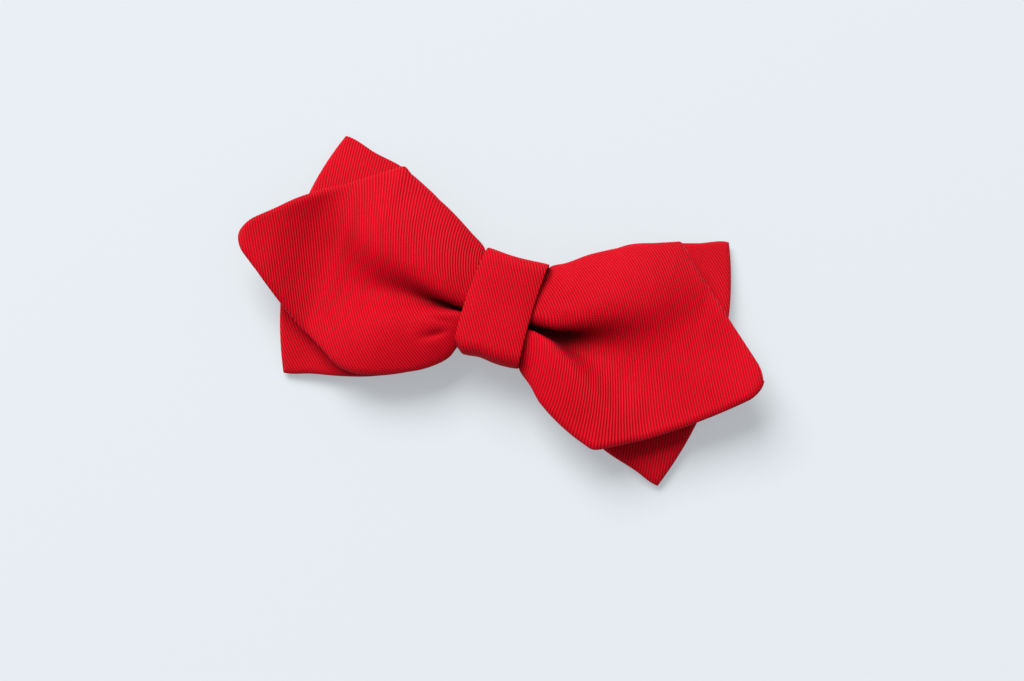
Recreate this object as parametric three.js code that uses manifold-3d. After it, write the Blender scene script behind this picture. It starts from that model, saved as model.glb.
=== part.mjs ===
// A clip-on diamond-point bow tie, lying on its clip with its face up.
//
// Frame, in millimetres: +X runs along the bow, +Y across its height and +Z out of its face. The origin is
// under the middle of the tie, on the surface that the clip's jaws rest on.
//
// From back to front: a sprung metal clip, a square-cornered rear bow, a diamond-ended front bow, and a knot
// band wound once round all of them. Each bow is a bag of two cloth layers with an interlining between.

import * as THREE from "three";
import { mergeVertices } from "three/addons/utils/BufferGeometryUtils.js";
import Module from "manifold-3d";

const wasm = await Module();
wasm.setup();

// ---------------------------------------------------------------- driving sizes

const TIE_LENGTH = 120; // tip to tip, along the front bow
const REAR_HEIGHT = 58.6; // between the rear bow's upper and lower corners
const REAR_CORNER_X = 44.6; // from the middle to each rear corner
const REAR_END_BOW = 6.8; // how far the rear bow's end bows out beyond its corners

const CENTRE_Y = -2.1; // the front bow, knot and clip sit this far below the rear bow's middle
const KNOT_X = 0.6; // the knot sits this far right of the middle

const KNOT_WIDTH = 14.4; // along X
const KNOT_HEIGHT = 23.6; // along Y
const KNOT_CORNER = 5; // outer corner radius of the knot, seen along X
const KNOT_LAP = 8; // how far the band's ends overlap at the back

const CLOTH = 0.5; // one layer of twill
const INTERLINING = 0.4;
const BAND = 0.9; // the knot band, two layers of twill pressed flat
const GAP = 0.3; // between layers that touch
const BOW_GAP = 0.4; // between the clip, the rear bow, the front bow and the knot

const LOBE_WAIST = 2.4; // height of the front bow's two lobes under the knot
const LOBE_WING = 5; // and just outside it
const TIP_RISE = 3.4; // how far the front bow's tips stand up
const TIP_RISE_START = 16; // and how far from the knot's middle they start to
const REAR_CORNER_DROP = 3.2; // how far the rear bow's corners fall below the middle of its ends
const REAR_END_DROP = 1.4; // and how far those fall below the knot
const FLARE_FRONT = 0.7; // below 1, a bow opens quickly as it leaves the knot
const FLARE_REAR = 0.52;
const TIP_WIDTH = 8; // width of the diamond's end where its rounding starts
const TIP_ROUND = 4; // length of that rounding

const CLIP_LENGTH = 52;
const CLIP_WIDTH = 11;
const CLIP_DEPTH = 4.5; // from the jaws' backs to the base plate's front
const SHEET = 0.5; // the clip's sheet steel
const HINGE_X = 13; // from the clip's middle to each hinge pin
const TAB_LENGTH = 4.6; // each jaw's finger tab, inwards from its pin
const PIN_RADIUS = 0.6;
const PIN_CLEARANCE = 0.09; // between a pin and the narrowest part of its bore
const PIN_HEAD_RADIUS = 0.95;
const PIN_HEAD = 0.35; // thickness of a pin's head
const EAR_ROOM = 0.35; // between an ear's round end and the plate or jaw that it faces
const EAR_FOOT = 2.4; // half the width of an ear where it leaves its plate
const JAW_SIDE_GAP = 0.4; // between a jaw's ears and the base plate's
const TEETH = 5; // on each jaw
const TOOTH_DEPTH = 1.1;
const RIB_LENGTH = 5; // grip rib pressed into the base plate
const RIB_WIDTH = 5;
const RIB_DEPTH = 0.4;
const RIB_X = 19.5; // from the clip's middle to the rib's middle
const WIRE = 0.44; // spring wire diameter
const SPRING_ROOM = 0.25; // between a spring's wire and the plate or jaw that it faces
const COIL_TURNS = 3.5;
const COIL_PITCH = 0.86;
const SPRING_LEG = 3.4;

const ROUND_SIDES = 16; // sides of a pin or a bore
const ARC_STEPS = 6; // steps in a quarter round

// The front bow's four shoulders: how far out and how high each stands, how much the edge from it to the tip
// bows outwards, and how softly it is turned.
const SHOULDERS = {
  upperLeft: { x: 31.8, y: 26, bow: 0.9, soft: 2.5 },
  upperRight: { x: 34.6, y: 26.8, bow: 0, soft: 1 },
  lowerLeft: { x: 29, y: 24, bow: 0.3, soft: 5 },
  lowerRight: { x: 29.6, y: 25, bow: 1.2, soft: 1.5 },
};

// ---------------------------------------------------------------- levels that follow from them

const HALF_LENGTH = TIE_LENGTH / 2;
const BOW_STACK = 2 * CLOTH + INTERLINING + 2 * GAP; // one bow's three layers
const PLATE_BACK = CLIP_DEPTH - SHEET;
const HINGE_Z = (SHEET + PLATE_BACK) / 2;
const HINGE_ROOM = (PLATE_BACK - SHEET) / 2; // from a pin's middle to the plate or the jaw's back
const EAR_RADIUS = HINGE_ROOM - EAR_ROOM;
const COIL_RADIUS = HINGE_ROOM - SPRING_ROOM - WIRE / 2; // to the middle of the wire
const REAR_MIDDLE = CLIP_DEPTH + BOW_GAP + BOW_STACK / 2;
const FRONT_MIDDLE = REAR_MIDDLE + BOW_STACK + BOW_GAP;
const LINING_STEP = BAND + GAP + INTERLINING; // from the band's outside to the interlining's inside
const KNOT_BACK = PLATE_BACK - GAP - LINING_STEP; // outside of the band's inner turn, at the back
const KNOT_FRONT = FRONT_MIDDLE + BOW_STACK / 2 + LOBE_WAIST + BOW_GAP + LINING_STEP;
const NECK_X = KNOT_WIDTH / 2 + 2 * GAP; // where the bows start to open, from the knot's middle
const BORE_RADIUS = (PIN_RADIUS + PIN_CLEARANCE) / Math.cos(Math.PI / ROUND_SIDES);

// ---------------------------------------------------------------- materials

const twill = new THREE.MeshStandardMaterial({ color: 0xc4101c, roughness: 0.8, metalness: 0 });
const interlining = new THREE.MeshStandardMaterial({ color: 0xe9e4d8, roughness: 0.95, metalness: 0 });
const nickel = new THREE.MeshStandardMaterial({ color: 0xc9c7c1, roughness: 0.3, metalness: 1 });
const springSteel = new THREE.MeshStandardMaterial({ color: 0x9a9ba0, roughness: 0.35, metalness: 1 });

// ---------------------------------------------------------------- helpers

function namedMesh(name, geometry, material) {
  const mesh = new THREE.Mesh(geometry, material);
  mesh.name = name;
  return mesh;
}

// 0 at low, 1 at high, level at both ends.
function easeBetween(value, low, high) {
  return THREE.MathUtils.smoothstep(value, low, high);
}

// The lower of two values, rounded where they cross over a band of the given width.
function softMin(a, b, width) {
  const near = Math.max(0, 1 - Math.abs(a - b) / width);
  return Math.min(a, b) - (near * near * width) / 4;
}

// Turns a closed three.js geometry into a solid that can be joined and cut.
function toSolid(geometry) {
  const bare = new THREE.BufferGeometry();
  bare.setAttribute("position", geometry.getAttribute("position").clone());
  if (geometry.index) bare.setIndex(geometry.index.clone());
  const merged = mergeVertices(bare, 1e-4);
  const mesh = new wasm.Mesh({
    numProp: 3,
    vertProperties: merged.attributes.position.array,
    triVerts: new Uint32Array(merged.index.array),
  });
  return new wasm.Manifold(mesh);
}

function toGeometry(solid) {
  const mesh = solid.getMesh();
  const geometry = new THREE.BufferGeometry();
  geometry.setAttribute("position", new THREE.BufferAttribute(mesh.vertProperties, 3));
  geometry.setIndex(new THREE.BufferAttribute(mesh.triVerts, 1));
  geometry.computeVertexNormals();
  return geometry;
}

// One closed piece made of overlapping closed pieces.
function join(geometries) {
  return toGeometry(geometries.map(toSolid).reduce((whole, piece) => whole.add(piece)));
}

function box(low, high) {
  const size = high.map((value, axis) => value - low[axis]);
  const geometry = new THREE.BoxGeometry(...size);
  return geometry.translate(...low.map((value, axis) => value + size[axis] / 2));
}

// A shape drawn as (across, up), carried along X between two values, with across on Y and up on Z.
function extrudeAlongX(shape, from, to) {
  const geometry = new THREE.ExtrudeGeometry(shape, { depth: to - from, bevelEnabled: false });
  geometry.rotateX(Math.PI / 2);
  geometry.rotateZ(Math.PI / 2);
  return geometry.translate(from, 0, 0);
}

// A shape drawn as (x, z), carried along Y between two values.
function extrudeAlongY(shape, from, to) {
  const geometry = new THREE.ExtrudeGeometry(shape, { depth: to - from, bevelEnabled: false });
  geometry.rotateX(Math.PI / 2);
  return geometry.translate(0, to, 0);
}

// Points on an arc, both ends included.
function arcPoints(x, y, radius, startAngle, endAngle, steps = ARC_STEPS) {
  return Array.from({ length: steps + 1 }, (_, i) => {
    const angle = startAngle + ((endAngle - startAngle) * i) / steps;
    return new THREE.Vector2(x + radius * Math.cos(angle), y + radius * Math.sin(angle));
  });
}

// A ribbon of even thickness whose middle follows the given points.
function ribbonShape(points, thickness) {
  const side = (sign) =>
    points.map((point, i) => {
      const before = points[Math.max(i - 1, 0)];
      const after = points[Math.min(i + 1, points.length - 1)];
      const along = after.clone().sub(before).normalize();
      const normal = new THREE.Vector2(-along.y, along.x);
      return point.clone().addScaledVector(normal, (sign * thickness) / 2);
    });
  return new THREE.Shape([...side(1), ...side(-1).reverse()]);
}

// ---------------------------------------------------------------- the bows

// How far from the knot's centre line something may reach at height z and still clear its interlining.
function roomInsideKnot(z) {
  const radius = KNOT_CORNER - LINING_STEP - GAP;
  const lowerCentre = KNOT_BACK + KNOT_CORNER;
  const upperCentre = KNOT_FRONT - KNOT_CORNER;
  const beyond = Math.max(lowerCentre - z, z - upperCentre, 0);
  return KNOT_HEIGHT / 2 - KNOT_CORNER + Math.sqrt(radius * radius - beyond * beyond);
}

const REAR_WAIST = roomInsideKnot(REAR_MIDDLE - BOW_STACK / 2);
const FRONT_WAIST = roomInsideKnot(FRONT_MIDDLE + BOW_STACK / 2);

// Places from a bow's middle out to its end: close together at the neck and at the end.
function stationsTo(end, wingSteps) {
  const wing = Array.from({ length: wingSteps }, (_, i) => {
    const share = (1 - Math.cos((Math.PI * (i + 1)) / wingSteps)) / 2;
    return NECK_X + (end - NECK_X) * share;
  });
  return [NECK_X, ...wing];
}

// The height of one quarter of the front bow's outline at a distance x from the tie's middle and
// reach from the knot's: from the waist out to the shoulder, then along the point's edge to the rounded tip.
function frontEdge(shoulder, x, reach) {
  const opened = Math.max(reach - NECK_X, 0) / (shoulder.x - NECK_X);
  const flare = FRONT_WAIST + (shoulder.y - FRONT_WAIST) * opened ** FLARE_FRONT;
  const along = (x - shoulder.x) / (HALF_LENGTH - shoulder.x);
  const straight = shoulder.y + (TIP_WIDTH / 2 - shoulder.y) * along;
  const edge = straight + 4 * shoulder.bow * Math.max(along * (1 - along), 0);
  const intoTip = Math.max(x - (HALF_LENGTH - TIP_ROUND), 0) / TIP_ROUND;
  const rounding = Math.sqrt(Math.max(1 - intoTip * intoTip, 0.04));
  return (opened === 0 ? FRONT_WAIST : softMin(flare, edge, shoulder.soft)) * rounding;
}

// A point on the middle of the front bow: across runs from -1 at the lower edge to 1 at the upper.
function frontPoint(side, reach, across) {
  const x = KNOT_X + side * reach;
  const vertical = across > 0 ? "upper" : "lower";
  const shoulder = SHOULDERS[vertical + (side < 0 ? "Left" : "Right")];
  const height = across * frontEdge(shoulder, Math.abs(x), reach);
  const lobe = LOBE_WAIST + (LOBE_WING - LOBE_WAIST) * easeBetween(reach, NECK_X, 2 * NECK_X);
  const fade = 1 - easeBetween(reach, NECK_X, HALF_LENGTH);
  const rise = TIP_RISE * easeBetween(reach, TIP_RISE_START, HALF_LENGTH);
  const lift = lobe * fade * Math.sin(Math.PI * across) ** 2 + rise;
  return [x, CENTRE_Y + height, FRONT_MIDDLE + lift];
}

// A point on the middle of the rear bow.
function rearPoint(side, reach, across) {
  const end = REAR_CORNER_X - side * KNOT_X;
  const opened = Math.max(reach - NECK_X, 0) / (end - NECK_X);
  const half = REAR_WAIST + (REAR_HEIGHT / 2 - REAR_WAIST) * opened ** FLARE_REAR;
  const middle = CENTRE_Y * (1 - easeBetween(reach, NECK_X, 3 * NECK_X));
  const bow = REAR_END_BOW * opened * (1 - across * across);
  const drop = REAR_END_DROP * opened ** 4 + REAR_CORNER_DROP * across ** 2 * opened ** 1.3;
  return [KNOT_X + side * (reach + bow), middle + across * half, REAR_MIDDLE - drop];
}

// A thin closed sheet that follows the middle of a bow. Its columns run from the left end to the right, its
// rows from the lower edge to the upper, and it lies between the two heights given from that middle.
function bowLayer(pointAt, leftStations, rightStations, rows, low, high) {
  const columns = [
    ...leftStations.map((reach) => [-1, reach]).reverse(),
    [1, 0],
    ...rightStations.map((reach) => [1, reach]),
  ];
  const position = [];
  for (const height of [high, low]) {
    for (const [side, reach] of columns) {
      for (let row = 0; row <= rows; row++) {
        const [x, y, z] = pointAt(side, reach, (2 * row) / rows - 1);
        position.push(x, y, z + height);
      }
    }
  }
  const stride = rows + 1;
  const layerSize = columns.length * stride;
  const index = [];
  const quad = (a, b, c, d) => index.push(a, b, c, a, c, d);
  for (let i = 0; i + 1 < columns.length; i++) {
    for (let j = 0; j < rows; j++) {
      const a = i * stride + j;
      quad(a, a + stride, a + stride + 1, a + 1);
      quad(layerSize + a, layerSize + a + 1, layerSize + a + stride + 1, layerSize + a + stride);
    }
    const lower = i * stride;
    const upper = lower + rows;
    quad(lower, layerSize + lower, layerSize + lower + stride, lower + stride);
    quad(upper, upper + stride, layerSize + upper + stride, layerSize + upper);
  }
  const last = (columns.length - 1) * stride;
  for (let j = 0; j < rows; j++) {
    quad(j, j + 1, layerSize + j + 1, layerSize + j);
    quad(last + j, layerSize + last + j, layerSize + last + j + 1, last + j + 1);
  }
  const geometry = new THREE.BufferGeometry();
  geometry.setAttribute("position", new THREE.Float32BufferAttribute(position, 3));
  geometry.setIndex(index);
  geometry.computeVertexNormals();
  return geometry;
}

// The back, interlining and face of one bow, from back to front.
function bow(name, pointAt, leftEnd, rightEnd, wingSteps, rows) {
  const group = new THREE.Group();
  const left = stationsTo(leftEnd, wingSteps);
  const right = stationsTo(rightEnd, wingSteps);
  let level = -BOW_STACK / 2;
  for (const [layer, thickness, material] of [
    ["back", CLOTH, twill],
    ["interlining", INTERLINING, interlining],
    ["face", CLOTH, twill],
  ]) {
    const geometry = bowLayer(pointAt, left, right, rows, level, level + thickness);
    group.add(namedMesh(name + "_" + layer, geometry, material));
    level += thickness + GAP;
  }
  return group;
}

function frontBow() {
  return bow("front_bow", frontPoint, HALF_LENGTH + KNOT_X, HALF_LENGTH - KNOT_X, 12, 8);
}

function rearBow() {
  return bow("rear_bow", rearPoint, REAR_CORNER_X + KNOT_X, REAR_CORNER_X - KNOT_X, 8, 6);
}

// ---------------------------------------------------------------- the knot

// The band starts inside at the back, runs once round and ends on the outside of its own start.
function knotBand() {
  const half = KNOT_HEIGHT / 2 - BAND / 2;
  const radius = KNOT_CORNER - BAND / 2;
  const flat = half - radius;
  const back = KNOT_BACK + BAND / 2;
  const front = KNOT_FRONT - BAND / 2;
  const lapped = back - BAND - GAP;
  const quarter = Math.PI / 2;
  const middle = [
    new THREE.Vector2(KNOT_LAP / 2, back),
    ...arcPoints(-flat, back + radius, radius, -quarter, -2 * quarter),
    ...arcPoints(-flat, front - radius, radius, 2 * quarter, quarter),
    ...arcPoints(flat, front - radius, radius, quarter, 0),
    ...arcPoints(flat, lapped + radius, radius, 0, -quarter),
    new THREE.Vector2(-KNOT_LAP / 2, lapped),
  ];
  const geometry = extrudeAlongX(ribbonShape(middle, BAND), -KNOT_WIDTH / 2, KNOT_WIDTH / 2);
  return namedMesh("knot_band", geometry, twill);
}

// A rounded rectangle with its corners at the given distance inside the knot's outside.
function knotOutline(inset) {
  const half = KNOT_HEIGHT / 2 - KNOT_CORNER;
  const low = KNOT_BACK + KNOT_CORNER;
  const high = KNOT_FRONT - KNOT_CORNER;
  const radius = KNOT_CORNER - inset;
  const quarter = Math.PI / 2;
  return [
    ...arcPoints(half, low, radius, -quarter, 0),
    ...arcPoints(half, high, radius, 0, quarter),
    ...arcPoints(-half, high, radius, quarter, 2 * quarter),
    ...arcPoints(-half, low, radius, 2 * quarter, 3 * quarter),
  ];
}

function knotInterlining() {
  const ring = new THREE.Shape(knotOutline(BAND + GAP));
  ring.holes.push(new THREE.Path(knotOutline(LINING_STEP)));
  const half = KNOT_WIDTH / 2 - GAP;
  return namedMesh("knot_interlining", extrudeAlongX(ring, -half, half), interlining);
}

function knot() {
  const group = new THREE.Group();
  group.add(knotBand(), knotInterlining());
  group.position.set(KNOT_X, CENTRE_Y, 0);
  return group;
}

// ---------------------------------------------------------------- the clip

// An ear with its bore, drawn as (x, z): it leaves its plate at footZ and rounds over the pin.
function earShape(footZ) {
  const above = footZ > HINGE_Z ? 1 : -1;
  const outline = [
    new THREE.Vector2(HINGE_X + above * EAR_FOOT, footZ),
    ...arcPoints(HINGE_X, HINGE_Z, EAR_RADIUS, 0, -above * Math.PI, 2 * ARC_STEPS).map(
      (point) => new THREE.Vector2(HINGE_X + above * (point.x - HINGE_X), point.y),
    ),
    new THREE.Vector2(HINGE_X - above * EAR_FOOT, footZ),
  ];
  const ear = new THREE.Shape(outline);
  ear.holes.push(new THREE.Path(arcPoints(HINGE_X, HINGE_Z, BORE_RADIUS, 0, 2 * Math.PI, ROUND_SIDES)));
  return ear;
}

// Both ears of a hinge, their outer sides at the given half width.
function earPair(footZ, halfWidth) {
  const inner = halfWidth - SHEET;
  return [
    extrudeAlongY(earShape(footZ), inner, halfWidth),
    extrudeAlongY(earShape(footZ), -halfWidth, -inner),
  ];
}

// The base plate, with a pair of ears and a grip rib towards each end.
function basePlate() {
  const halfWidth = CLIP_WIDTH / 2;
  const halfLength = CLIP_LENGTH / 2;
  const middle = CLIP_DEPTH - SHEET / 2;
  const oneEnd = [
    ...earPair(middle, halfWidth),
    box(
      [RIB_X - RIB_LENGTH / 2, -RIB_WIDTH / 2, PLATE_BACK - RIB_DEPTH],
      [RIB_X + RIB_LENGTH / 2, RIB_WIDTH / 2, middle],
    ),
  ];
  const otherEnd = oneEnd.map((geometry) => geometry.clone().rotateZ(Math.PI));
  const plate = box([-halfLength, -halfWidth, PLATE_BACK], [halfLength, halfWidth, CLIP_DEPTH]);
  return namedMesh("clip_base_plate", join([plate, ...oneEnd, ...otherEnd]), nickel);
}

const JAW_HALF = CLIP_WIDTH / 2 - SHEET - JAW_SIDE_GAP;
const JAW_MOUTH = CLIP_LENGTH / 2 - SHEET; // the toothed lip stands just inside the plate's end

// The toothed lip at a jaw's mouth, drawn as (y, z).
function lipShape() {
  const top = PLATE_BACK - GAP;
  const pitch = (2 * JAW_HALF) / TEETH;
  const outline = [new THREE.Vector2(-JAW_HALF, 0), new THREE.Vector2(JAW_HALF, 0)];
  for (let tooth = TEETH; tooth > 0; tooth--) {
    const right = -JAW_HALF + tooth * pitch;
    outline.push(new THREE.Vector2(right, top - TOOTH_DEPTH), new THREE.Vector2(right - pitch / 2, top));
  }
  outline.push(new THREE.Vector2(-JAW_HALF, top - TOOTH_DEPTH));
  return new THREE.Shape(outline);
}

// One jaw, drawn for the clip's right end: a flat back with a finger tab, a pair of ears and a toothed lip.
function jaw(name) {
  const back = box([HINGE_X - TAB_LENGTH, -JAW_HALF, 0], [JAW_MOUTH, JAW_HALF, SHEET]);
  const lip = extrudeAlongX(lipShape(), JAW_MOUTH - SHEET, JAW_MOUTH);
  return namedMesh(name, join([back, lip, ...earPair(SHEET / 2, JAW_HALF)]), nickel);
}

// A hinge pin with a rivet head at each end, turned about Y.
function hingePin(name) {
  const headFrom = CLIP_WIDTH / 2 + PIN_CLEARANCE;
  const headTo = headFrom + PIN_HEAD;
  const profile = [
    [0, -headTo],
    [PIN_HEAD_RADIUS, -headTo],
    [PIN_HEAD_RADIUS, -headFrom],
    [PIN_RADIUS, -headFrom],
    [PIN_RADIUS, headFrom],
    [PIN_HEAD_RADIUS, headFrom],
    [PIN_HEAD_RADIUS, headTo],
    [0, headTo],
  ].map(([radius, along]) => new THREE.Vector2(radius, along));
  const geometry = new THREE.LatheGeometry(profile, ROUND_SIDES);
  return namedMesh(name, geometry.translate(HINGE_X, 0, HINGE_Z), nickel);
}

// A torsion spring's wire: in along the base plate, round the pin, and out along the jaw's finger tab.
class SpringWire extends THREE.Curve {
  getPoint(t, target = new THREE.Vector3()) {
    const coilLength = 2 * Math.PI * COIL_RADIUS * COIL_TURNS;
    const along = t * (coilLength + 2 * SPRING_LEG);
    const wound = THREE.MathUtils.clamp((along - SPRING_LEG) / coilLength, 0, 1);
    const angle = Math.PI / 2 - 2 * Math.PI * COIL_TURNS * wound;
    const legIn = Math.max(SPRING_LEG - along, 0);
    const legOut = Math.max(along - SPRING_LEG - coilLength, 0);
    return target.set(
      HINGE_X + COIL_RADIUS * Math.cos(angle) - legIn - legOut,
      (wound - 0.5) * COIL_TURNS * COIL_PITCH,
      HINGE_Z + COIL_RADIUS * Math.sin(angle),
    );
  }
}

function torsionSpring(name) {
  const section = new THREE.Shape(arcPoints(0, 0, WIRE / 2, 0, 2 * Math.PI, 6).slice(0, -1));
  const steps = 56;
  const geometry = new THREE.ExtrudeGeometry(section, { steps, extrudePath: new SpringWire() });
  return namedMesh(name, geometry, springSteel);
}

// The jaw, pin and spring of one end.
function clipEnd(side) {
  const group = new THREE.Group();
  group.add(jaw(side + "_jaw"), hingePin(side + "_hinge_pin"), torsionSpring(side + "_spring"));
  return group;
}

function clip() {
  const group = new THREE.Group();
  const left = clipEnd("left");
  left.rotation.z = Math.PI;
  group.add(basePlate(), clipEnd("right"), left);
  group.position.set(KNOT_X, CENTRE_Y, 0);
  return group;
}

// ---------------------------------------------------------------- the whole tie

const bowTie = new THREE.Group();
bowTie.add(clip(), rearBow(), frontBow(), knot());

export default bowTie;
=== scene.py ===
"""A clip-on diamond-point bow tie in red twill, lying face up on a pale table.

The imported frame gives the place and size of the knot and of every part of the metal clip. The two bows and
the knot are cloth, worked out here as surfaces, and the clip's parts are the frame's own shapes with their
stamped edges softened. Lengths are in millimetres until a mesh is made.
"""

import logging
import math
from dataclasses import dataclass, field
from enum import Enum
from typing import Optional

import bpy
import numpy as np
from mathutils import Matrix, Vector


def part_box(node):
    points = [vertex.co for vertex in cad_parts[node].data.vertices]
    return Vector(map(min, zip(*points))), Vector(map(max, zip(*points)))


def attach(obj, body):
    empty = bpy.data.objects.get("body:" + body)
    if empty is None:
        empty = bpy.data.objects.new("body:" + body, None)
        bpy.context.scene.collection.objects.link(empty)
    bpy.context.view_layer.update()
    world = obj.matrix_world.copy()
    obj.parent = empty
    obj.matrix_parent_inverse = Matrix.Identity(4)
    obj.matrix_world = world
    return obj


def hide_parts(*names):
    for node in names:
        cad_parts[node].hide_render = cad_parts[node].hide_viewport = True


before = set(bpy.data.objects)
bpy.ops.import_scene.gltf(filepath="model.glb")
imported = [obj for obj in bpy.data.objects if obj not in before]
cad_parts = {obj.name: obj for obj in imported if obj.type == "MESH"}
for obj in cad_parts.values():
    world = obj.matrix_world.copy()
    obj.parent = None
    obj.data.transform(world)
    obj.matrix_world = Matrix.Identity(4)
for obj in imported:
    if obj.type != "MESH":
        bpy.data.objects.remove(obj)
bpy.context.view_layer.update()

MM = 0.001
log = logging.getLogger("bow_tie")


# ------------------------------------------------------------------ curves and grids


def smooth_curve(x: np.ndarray, knots: list[tuple[float, float]]) -> np.ndarray:
    """A smooth curve through a few knots, which never overshoots them.

    Between two knots it is the cubic with the given end heights and slopes. A knot's slope is the harmonic
    mean of the slopes on its two sides, or level where they differ in sign and at both ends.

    Args:
        x: Where the curve is wanted. Outside the knots it keeps the end heights.
        knots: (x, height) pairs in rising order of x.

    Returns:
        The heights, in the shape of x.
    """
    at, height = np.array(knots, dtype=float).T
    slope = np.diff(height) / np.diff(at)
    product = slope[:-1] * slope[1:]
    total = slope[:-1] + slope[1:]
    inner = np.where(product > 0, 2 * product / np.where(total == 0, 1, total), 0)
    level = slope if len(slope) == 1 else np.zeros(1)
    ends = np.concatenate([level, inner, level])
    x = np.clip(x, at[0], at[-1])
    i = np.clip(np.searchsorted(at, x, side="right") - 1, 0, len(slope) - 1)
    width = at[i + 1] - at[i]
    t = (x - at[i]) / width
    rise = t * t * (3 - 2 * t)
    return (
        height[i] * (1 - rise)
        + height[i + 1] * rise
        + width * (ends[i] * t * (1 - t) ** 2 - ends[i + 1] * t * t * (1 - t))
    )


def soft_min(a: np.ndarray, b: np.ndarray, width: float) -> np.ndarray:
    """The lower of two curves, rounded where they cross.

    Where they are less than width apart, the square of how near they are, times width over 4, comes off.

    Args:
        a: The first curve's heights.
        b: The second's.
        width: How far apart they still blend.

    Returns:
        The blended heights.
    """
    near = np.clip(1 - np.abs(a - b) / width, 0, 1)
    return np.minimum(a, b) - near * near * width / 4


def ease(x: np.ndarray, low: float, high: float) -> np.ndarray:
    """0 up to low, 1 from high, and three t squared less two t cubed between them."""
    t = np.clip((x - low) / (high - low), 0, 1)
    return t * t * (3 - 2 * t)


def normals_of(points: np.ndarray) -> np.ndarray:
    """Unit normals of a grid of points: the cross product of its two directions' differences."""
    along = np.gradient(points, axis=0)
    across = np.gradient(points, axis=1)
    normal = np.cross(along, across)
    return normal / np.maximum(np.linalg.norm(normal, axis=-1, keepdims=True), 1e-9)


def quads(index: np.ndarray, flip: bool = False) -> np.ndarray:
    """The four-sided faces of a grid of vertex numbers, turned over when flip is set."""
    faces = np.stack([index[:-1, :-1], index[1:, :-1], index[1:, 1:], index[:-1, 1:]], axis=-1).reshape(-1, 4)
    return faces[:, ::-1] if flip else faces


def make_mesh(
    name: str,
    points: np.ndarray,
    faces: np.ndarray,
    material: bpy.types.Material,
    cloth: Optional[np.ndarray] = None,
    sharp: Optional[np.ndarray] = None,
    fold_shade: Optional[np.ndarray] = None,
) -> bpy.types.Object:
    """Makes a smooth-shaded mesh object from arrays.

    Args:
        name: The piece's name.
        points: Vertices in millimetres, (n, 3).
        faces: Vertex numbers, (m, 4).
        material: Its finish.
        cloth: The cloth's own coordinates at each vertex, (n, 2), kept as the UV map "cloth".
        sharp: True at the vertices of a line that stays crisp.
        fold_shade: How deep in a fold each vertex lies, from 0 to 1, kept as the attribute "fold_shade", by
            which the twill paints shade into its colour.

    Returns:
        The object, at the origin.
    """
    mesh = bpy.data.meshes.new(name)
    mesh.from_pydata((points * MM).tolist(), [], faces.tolist())
    mesh.polygons.foreach_set("use_smooth", np.ones(len(mesh.polygons), dtype=bool))
    if cloth is not None:
        corner = np.empty(len(mesh.loops), dtype=np.int32)
        mesh.loops.foreach_get("vertex_index", corner)
        layer = mesh.uv_layers.new(name="cloth")
        layer.data.foreach_set("uv", cloth[corner].astype(np.float32).ravel())
    if sharp is not None:
        ends = np.empty(len(mesh.edges) * 2, dtype=np.int32)
        mesh.edges.foreach_get("vertices", ends)
        crisp = sharp[ends].reshape(-1, 2).all(axis=1)
        mesh.attributes.new("sharp_edge", "BOOLEAN", "EDGE").data.foreach_set("value", crisp)
    if fold_shade is not None:
        mesh.attributes.new("fold_shade", "FLOAT", "POINT").data.foreach_set("value", fold_shade.astype(np.float32))
    mesh.materials.append(material)
    mesh.update()
    piece = bpy.data.objects.new(name, mesh)
    bpy.context.scene.collection.objects.link(piece)
    return piece


def path_frame(line: np.ndarray) -> tuple[np.ndarray, np.ndarray]:
    """The side directions of a line in the (y, z) plane, and how far along it each point lies.

    A side direction is the line's own direction turned a quarter turn counterclockwise.
    """
    along = np.gradient(line, axis=0)
    along /= np.linalg.norm(along, axis=1, keepdims=True)
    gone = np.concatenate([[0], np.cumsum(np.linalg.norm(np.diff(line, axis=0), axis=1))])
    return np.stack([-along[:, 1], along[:, 0]], axis=1), gone


def fit_coordinates(points: np.ndarray, ways: list[np.ndarray]) -> np.ndarray:
    """Coordinates on a grid that change as nearly as can be by the true distance along given directions.

    Each two neighbours ask that their difference is the step between them, measured along the mean of their
    directions. The squares of what is missed, over the step's squared length, come to the least sum.

    Args:
        points: The grid, (columns, rows, 3).
        ways: For each coordinate, its unit direction at every point.

    Returns:
        The coordinates, (columns, rows, number of ways).
    """
    number = np.arange(points[..., 0].size).reshape(points.shape[:2])
    matrix = np.zeros((number.size, number.size))
    sums = np.zeros((number.size, len(ways)))
    for a, b in ((np.s_[:-1, :], np.s_[1:, :]), (np.s_[:, :-1], np.s_[:, 1:])):
        step = points[b] - points[a]
        weight = (1 / np.maximum((step**2).sum(-1), 1e-4)).ravel()
        first, second = number[a].ravel(), number[b].ravel()
        pairs = ((first, first, 1), (second, second, 1), (first, second, -1), (second, first, -1))
        for row, column, sign in pairs:
            np.add.at(matrix, (row, column), sign * weight)
        for k, way in enumerate(ways):
            wanted = (step * (way[a] + way[b]) / 2).sum(-1).ravel() * weight
            np.add.at(sums[:, k], second, wanted)
            np.add.at(sums[:, k], first, -wanted)
    matrix[0, 0] += 1
    return np.linalg.solve(matrix, sums).reshape(*number.shape, len(ways))


# ------------------------------------------------------------------ what a piece is part of


class Slot(Enum):
    """The record's material slots."""

    TWILL = "twill"
    INTERLINING = "interlining"
    STEEL = "nickel_steel"


def settle(piece: bpy.types.Object, node: str, body: str = "tie") -> None:
    """Ties a piece to the node it stands for and to its body, and logs it."""
    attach(piece, body)
    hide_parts(node)
    log.info("%s: %d faces, rides on %s", piece.name, len(piece.data.polygons), body)


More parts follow.
